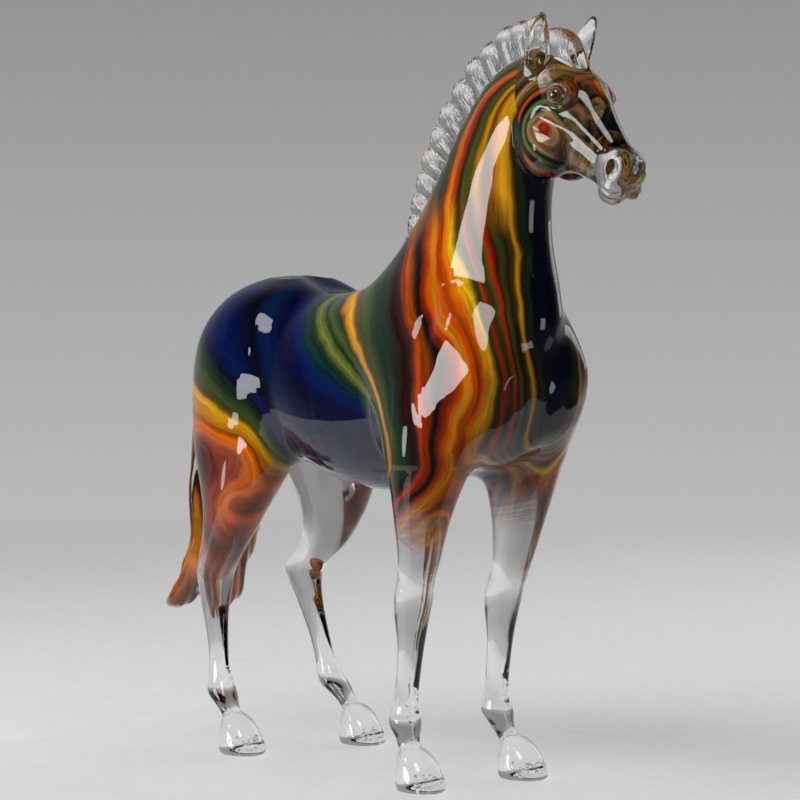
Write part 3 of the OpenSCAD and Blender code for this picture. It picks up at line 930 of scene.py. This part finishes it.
class Spread:
    """Smooth interpolation of the band number through space."""

    SOFT, EASE = 10.0, 5.0      # roundness at the points, and how loosely they hold
    CHUNK = 20000

    def __init__(self, P, v):
        self.P = P
        n = len(P)
        A = np.zeros((n + 4, n + 4))
        A[:n, :n] = self.near(P) - self.EASE * np.eye(n)
        A[:n, n] = 1
        A[:n, n + 1:] = P
        A[n:, :n] = A[:n, n:].T
        self.w = np.linalg.solve(A, np.concatenate([v, np.zeros(4)]))

    def near(self, Q):
        return np.sqrt(((Q[:, None] - self.P[None]) ** 2).sum(-1) + self.SOFT ** 2)

    def __call__(self, Q):
        out = np.empty(len(Q))
        n = len(self.P)
        for i in range(0, len(Q), self.CHUNK):
            q = Q[i:i + self.CHUNK]
            out[i:i + self.CHUNK] = self.near(q) @ self.w[:n] + self.w[n] + q @ self.w[n + 1:]
        return out


spread = Spread(*band_points())


def streaked(name, maps, split=None, wander=1.0, freq=26):
    """Colour drawn out in ribbons, with finer streaks, thinning out to wisps."""
    m = Nodes(name)
    at = m.coords()
    u = m.attr("band")
    warp = m.remap(m.noise(at, 20, 2, 0.5), 0.2, 0.8, -0.018 * wander, 0.018 * wander)
    warp2 = m.remap(m.noise(at, 70, 2, 0.5), 0.2, 0.8, -0.006 * wander, 0.006 * wander)
    uw = m.math("ADD", m.math("ADD", u, warp), warp2)
    col = m.ramp(uw, maps[0])
    if split:
        # a ramp holds 32 colours, so the second half of the bands has its own
        for share, other in ((m.math("GREATER_THAN", uw, split), maps[1]),
                             (m.attr("rise"), maps[2])):
            mix = m.new("Mix", data_type="RGBA")
            m.link(share, mix.inputs[0])
            m.link(col, mix.inputs[6])
            m.link(m.ramp(uw, other), mix.inputs[7])
            col = mix.outputs[2]
    # streaks: noise read along the band number, drifting slowly over the body
    sep, comb = m.new("SeparateXYZ"), m.new("CombineXYZ")
    m.link(at, sep.inputs[0])
    m.link(m.math("MULTIPLY", uw, freq), comb.inputs[0])
    m.link(m.math("MULTIPLY", sep.outputs[2], 8), comb.inputs[1])
    m.link(m.math("MULTIPLY", sep.outputs[1], 8), comb.inputs[2])
    streak = m.noise(comb.outputs[0], 3.4, 5, 0.65)
    broad = m.noise(comb.outputs[0], 0.9, 2, 0.5)
    hs = m.new("HueSaturation")
    m.link(col, hs.inputs["Color"])
    m.link(m.math("MULTIPLY", m.remap(streak, 0.3, 0.7, 0.3, 1.3),
                  m.remap(broad, 0.3, 0.7, 0.62, 1.12)), hs.inputs["Value"])
    m.link(m.remap(broad, 0.3, 0.7, 0.482, 0.518), hs.inputs["Hue"])
    p = m.new("BsdfPrincipled")
    m.link(hs.outputs[0], p.inputs["Base Color"])
    m.link(m.remap(streak, 0.3, 0.7, 0.35, 0.6), p.inputs["Roughness"])
    p.inputs["Specular IOR Level"].default_value = 0.0
    m.link(m.bump(streak, 0.25, 0.0004), p.inputs["Normal"])
    body = m.attr("body")
    wisp = m.math("MULTIPLY", m.math("SUBTRACT", streak, 0.5), 1.6)
    wisp = m.math("MULTIPLY", wisp, m.math("SUBTRACT", 1.15, body))
    soft = m.math("ADD", body, wisp, clamp=True)
    m.link(m.math("MULTIPLY", soft, m.remap(body, 0.0, 0.12, 0.0, 1.0)), p.inputs["Alpha"])
    return m.out(p.outputs[0])


CLEAR = glass("clear_glass", even(1), (0.955, 0.965, 0.96, 1))
HOOF = glass("hoof_glass", even(1), (0.93, 0.945, 0.94, 1), wave=120, depth=0.0007)
BODY_COLOUR = streaked("body_colour", (BANDS, BANDS_2, NECK_BANDS), BAND_SPLIT)
HEAD_COLOUR = streaked("head_streaks", (HEAD_BANDS,), wander=1.6, freq=9)
TAIL_COLOUR = streaked("tail_streaks", (TAIL_BANDS,), wander=3, freq=7)
MANE = glass("mane_glass", (0.95, 0.955, 0.95, 1), (0.80, 0.81, 0.80, 1), strands=True)

# ---------- pieces
NG = grad(G, outer.P)
seeds = np.random.default_rng(7)


def globe(n, k):
    """Angle from the pole and angle round it of k rows of n points, and triangles."""
    t, p = (v.ravel() for v in np.meshgrid(math.pi * np.arange(k + 1) / k,
                                           2 * math.pi * np.arange(n) / n, indexing="ij"))
    i, j = (v.ravel() for v in np.meshgrid(np.arange(k), np.arange(n), indexing="ij"))
    a, b = i * n + j, i * n + (j + 1) % n
    return t, p, np.vstack([np.stack([a, b, b + n], 1), np.stack([a, b + n, a + n], 1)])


def ball(c, r):
    """A small air bubble, its faces turned inwards."""
    t, p, T = globe(10, 6)
    out = np.stack([np.sin(t) * np.cos(p), np.sin(t) * np.sin(p), np.cos(t)], 1)
    return np.array(c) + r * out, T, -out


def add_bubbles(P, T, N, hoof_at):
    """Bubbles near the wall of a hoof, more of them on its right side."""
    for _ in range(BUBBLES):
        a, q = seeds.uniform(-1.3, 1.3), seeds.uniform(0.45, 0.84)
        z, r = seeds.uniform(1.6, 7), seeds.uniform(0.25, 0.75)
        side = -1 if seeds.random() < 0.6 else 1
        bp, bt, bn = ball((hoof_at[0] - 1 + 11 * q * math.cos(a),
                           hoof_at[1] + side * 9 * q * abs(math.sin(a)), z), r)
        T = np.vstack([T, bt + len(P)])
        P, N = np.vstack([P, bp]), np.vstack([N, bn])
    return P, T, N


for name in outer.names:
    P, T, used = outer.piece(name)
    if not len(T):
        continue
    N, mat, extra = NG[used], CLEAR, {}
    if "lock" in name:
        mat = MANE
        cx, cz, ux, uz = lock_axis[10 if name == "forelock" else int(name[-2:]) - 1]
        extra["strand"] = -(P[:, 0] - cx) * uz + (P[:, 2] - cz) * ux
    elif name.endswith("_hoof"):
        mat = HOOF
        P, T, N = add_bubbles(P, T, N, HOOF_AT[name[:-5]])
    add_piece(name + "_glass", P, T, N, mat,
              "hoof_glass" if mat is HOOF else "clear_glass", name, **extra)


def core_slot(name):
    part = name.split("_")[-2]
    return {"front": "fore"}.get(part, part) + "_colour"


def step(v, a, b):
    """0 below a, 1 above b, smooth between."""
    t = np.clip((v - a) / (b - a), 0, 1)
    return t * t * (3 - 2 * t)


def head_bands(P):
    """Ribbons round the cheek, drawn out along the nose, and how much colour is left."""
    s, c = sin_cos(-42)
    dx, dz = P[:, 0] - 119, P[:, 2] - 267
    along, above = dx * c + dz * s, -dx * s + dz * c
    a = np.where(along > 0, along / 2.7, along)
    b = np.where(above > 0, above * 0.82, above * 1.02)
    rho = np.sqrt(a * a + b * b) / 28
    return rho, ((1.0 - 0.88 * step(along, -4, 18)) * (1.0 - 0.8 * step(rho, 0.5, 0.8))
                 * (1.0 - 0.75 * step(above, 7, 15)))


def body_bands(P):
    """Band number and how much colour is left, over the trunk, neck and legs."""
    x, y, z = P.T
    hind = np.clip(0.025 + 0.0011 * (z - 75) + 0.0022 * (x + 78), 0.0, 0.12)
    fore = 0.60 + 0.0045 * (x - 50) + 0.0007 * (z - 90) + 0.001 * np.abs(y)
    w = step(z, 100, 138)
    band = w * spread(P) + (1 - w) * np.where(x < 0, hind, fore)
    # heights where the colour ends, and where it is still whole
    stop = np.where(x > 0, np.where(y > 0, 104, 90), np.where(y > 0, 60, 56))
    full = np.where(x > 0, np.where(y > 0, 138, 136), np.where(y > 0, 72, 124))
    return band, step(z, stop, full)


NC = grad(C, colour.P)
for name in colour.names:
    P, T, used = colour.piece(name)
    if not len(T):
        continue
    head = name == "head_core"
    band, left = head_bands(P) if head else body_bands(P)
    add_piece(name + "_swirl", P, T, NC[used], HEAD_COLOUR if head else BODY_COLOUR,
              core_slot(name), name, band=band, body=left, rise=step(P[:, 2], 222, 246))

# colour in the tail: bands across it, a little slanted
TC = np.full(DIM, BAND, np.float32)
TC[both.where()] = both.a + TAIL_WALL
P, T = skin(TC)
add_piece("tail_core_swirl", P, T, grad(TC, P), TAIL_COLOUR, "tail_colour", "tail_core",
          band=np.clip((P[:, 1] + 20) / 40 + 0.002 * (P[:, 2] - 110), 0, 1),
          body=0.82 + 0.18 * step(P[:, 2], 60, 160))


def eye(d):
    """A bead, slightly pointed at the pupil, and each point's angle from its axis."""
    t, p, T = globe(40, 28)
    r = EYE_R * (1 + 0.07 * np.exp(-(t / 0.5) ** 2))
    P = np.stack([r * np.sin(t) * np.cos(p), r * np.cos(t), r * np.sin(t) * np.sin(p)], 1)
    s, c = sin_cos(EYE_YAW)
    P = P @ np.array([[c, s, 0], [-s, c, 0], [0, 0, 1]]).T
    P = P * (1, d, 1) + (EYE_AT[0], d * EYE_AT[1], EYE_AT[2])
    return P, T if d > 0 else T[:, ::-1], t


# rings of brown and tan round the pupil, under a clear coat
em = Nodes("eye_glass")
angle = em.attr("angle")
grain = em.noise(em.coords(), 900, 3, 0.6)
angle = em.math("ADD", angle, em.remap(grain, 0.3, 0.7, -0.04, 0.04))
ep = em.new("BsdfPrincipled")
em.link(em.ramp(em.math("DIVIDE", angle, 3.2), [
    (0.0, srgb(26, 18, 10)), (0.08, srgb(30, 20, 12)), (0.12, srgb(92, 66, 40)),
    (0.17, srgb(64, 40, 20)), (0.21, srgb(120, 88, 54)), (0.26, srgb(36, 22, 12)),
    (0.34, srgb(96, 74, 48)), (1.0, srgb(70, 52, 34))]), ep.inputs["Base Color"])
em.link(em.remap(grain, 0.3, 0.7, 0.03, 0.1), ep.inputs["Roughness"])
ep.inputs["Coat Weight"].default_value = 1.0
ep.inputs["Coat Roughness"].default_value = 0.02
EYE = em.out(ep.outputs[0])
for d, name in ((-1, "right_eye"), (1, "left_eye")):
    P, T, A = eye(d)
    add_piece(name + "_bead", P, T, None, EYE, "eye_glass", name, angle=A)

# ---------- stage
# positions are in metres from here on
AZ, EL = math.radians(53), math.radians(1.8)
TARGET = np.array([0.0555, -0.0393, 0.1598])
CAM_DIST = 1.15
LENS, SENSOR = 128.4, 36
TABLE_EDGE, TABLE_HALF = 0.13, 0.5      # the part of the floor that shows in reflections
LIGHTS_AIM = np.array([0.05, -0.02, 0.17])
RINGS = [200, 400, 600, 900, 1300, 1800, 2600, 4000, 6000]      # radii in millimetres
ROUND = 96


def direction(az, el):
    """From the middle towards azimuth and elevation in radians; azimuth 0 is -Y."""
    return np.array([math.sin(az) * math.cos(el), -math.cos(az) * math.cos(el), math.sin(el)])


def look(ob, at, to):
    ob.location = at
    ob.rotation_euler = (Vector(to) - Vector(at)).to_track_quat("-Z", "Y").to_euler()


cam = bpy.data.cameras.new("camera")
cam.lens, cam.sensor_width, cam.clip_start, cam.clip_end = LENS, SENSOR, 0.05, 60
cam_ob = bpy.data.objects.new("camera", cam)
bpy.context.collection.objects.link(cam_ob)
look(cam_ob, tuple(TARGET + CAM_DIST * direction(AZ, EL)), tuple(TARGET))
bpy.context.scene.camera = cam_ob

# floor: a round sheet that fades out far away
FP = [(0, 0, 0)]
for r in RINGS:
    for j in range(ROUND):
        a = 2 * math.pi * j / ROUND
        FP.append((r * math.cos(a), r * math.sin(a), 0))
FT = [(0, 1 + j, 1 + (j + 1) % ROUND) for j in range(ROUND)]
for i in range(len(RINGS) - 1):
    for j in range(ROUND):
        a, b = 1 + i * ROUND + j, 1 + i * ROUND + (j + 1) % ROUND
        FT += [(a, a + ROUND, b + ROUND), (a, b + ROUND, b)]
fm = Nodes("floor")
at = fm.coords()
fp = fm.new("BsdfPrincipled")
fm.link(fm.ramp(fm.noise(at, 240, 4), [(0.3, even(0.46)), (0.7, even(0.49))]),
        fp.inputs["Base Color"])
fm.link(fm.remap(fm.noise(at, 60, 3), 0.3, 0.7, 0.45, 0.6), fp.inputs["Roughness"])
fp.inputs["Specular IOR Level"].default_value = 0.25
sx = fm.new("SeparateXYZ")
fm.link(at, sx.inputs[0])
x, y = sx.outputs[0], sx.outputs[1]
dist = fm.math("SQRT", fm.mixed(x, x, y, y))
near = fm.remap(dist, 0.5, 1.6, 1.0, 0.0)
front = fm.mixed(x, math.sin(AZ), y, -math.cos(AZ))
side = fm.mixed(x, math.cos(AZ), y, math.sin(AZ))
table = fm.math("MULTIPLY", fm.math("LESS_THAN", front, TABLE_EDGE),
                fm.math("LESS_THAN", fm.math("ABSOLUTE", side), TABLE_HALF))
lp = fm.new("LightPath")
seen = fm.math("MAXIMUM", table, fm.math("SUBTRACT", 1.0, lp.outputs["Is Glossy Ray"]))
al = fm.math("MULTIPLY", near, seen)
tr, mx = fm.new("BsdfTransparent"), fm.new("MixShader")
fm.link(al, mx.inputs["Fac"])
fm.link(tr.outputs[0], mx.inputs[1])
fm.link(fp.outputs[0], mx.inputs[2])
FLOOR = fm.out(mx.outputs[0])
floor = make("floor", np.array(FP, float) - (SHIFT, 0, 0), np.array(FT))
floor.data.materials.append(FLOOR)

# world: pale backdrop behind, dark studio elsewhere
world = bpy.data.worlds.new("studio")
world.use_nodes = True
bpy.context.scene.world = world
W = Nodes(tree=world.node_tree)
ws = W.new("SeparateXYZ")
W.link(W.new("TexCoord").outputs["Generated"], ws.inputs[0])
height = W.remap(ws.outputs[2], -0.20, 0.16, 0.0, 1.0)
sky = W.ramp(height, [(0.0, grey(228)), (0.14, grey(212)), (0.28, grey(192)), (0.46, grey(178)),
                      (0.60, grey(168)), (0.86, grey(148)), (1.0, grey(136))])
behind = W.mixed(ws.outputs[0], -math.sin(AZ), ws.outputs[1], math.cos(AZ))
lit = W.remap(behind, 0.25, 0.8, 0.10, 1.0)
lpw = W.new("LightPath")
lit = W.math("MAXIMUM", lit, W.math("MULTIPLY", lpw.outputs["Is Transmission Ray"], 0.66))
fac = W.math("MAXIMUM", lpw.outputs["Is Camera Ray"], lit)
vm = W.new("VectorMath", operation="SCALE")
W.link(sky, vm.inputs[0])
W.link(fac, vm.inputs["Scale"])
bg = W.new("Background")
W.link(vm.outputs[0], bg.inputs["Color"])
W.link(bg.outputs[0], W.new("OutputWorld").inputs["Surface"])


def softbox(name, az, el, dist, w, h, watts, glossy=True, shape="RECTANGLE"):
    """An area light turned to the horse; glossy ones are what the glass reflects."""
    li = bpy.data.lights.new(name, "AREA")
    li.shape, li.size, li.size_y, li.energy = shape, w, h, watts
    ob = bpy.data.objects.new(name, li)
    bpy.context.collection.objects.link(ob)
    at = LIGHTS_AIM + dist * direction(math.radians(az), math.radians(el))
    look(ob, tuple(at), tuple(LIGHTS_AIM))
    ob.visible_glossy = glossy
    ob.visible_transmission = False
    ob.visible_camera = False


softbox("key_box", -21, 9.5, 1.3, 0.77, 0.50, 8.2, shape="ELLIPSE")
softbox("rump_box", -31.5, 33, 1.3, 0.24, 0.34, 1.15, shape="ELLIPSE")
softbox("low_box", -41.5, -4.5, 1.3, 0.13, 0.2, 0.35, shape="ELLIPSE")
softbox("face_box", 33, 50, 1.3, 0.46, 0.46, 3.7, shape="ELLIPSE")
softbox("strip_box", 104, -2, 1.2, 0.3, 0.5, 1.4)
softbox("left_box", 190, 20, 1.4, 0.5, 0.8, 1.4)
softbox("fill_box", -25, 35, 1.6, 1.4, 1.0, 27, glossy=False)
softbox("back_fill", 200, 30, 1.6, 1.4, 1.0, 16, glossy=False)
softbox("top_box", 60, 88, 1.5, 1.6, 1.6, 12, glossy=False)

bpy.context.scene.view_settings.view_transform = "Standard"

bpy.context.view_layer.update()
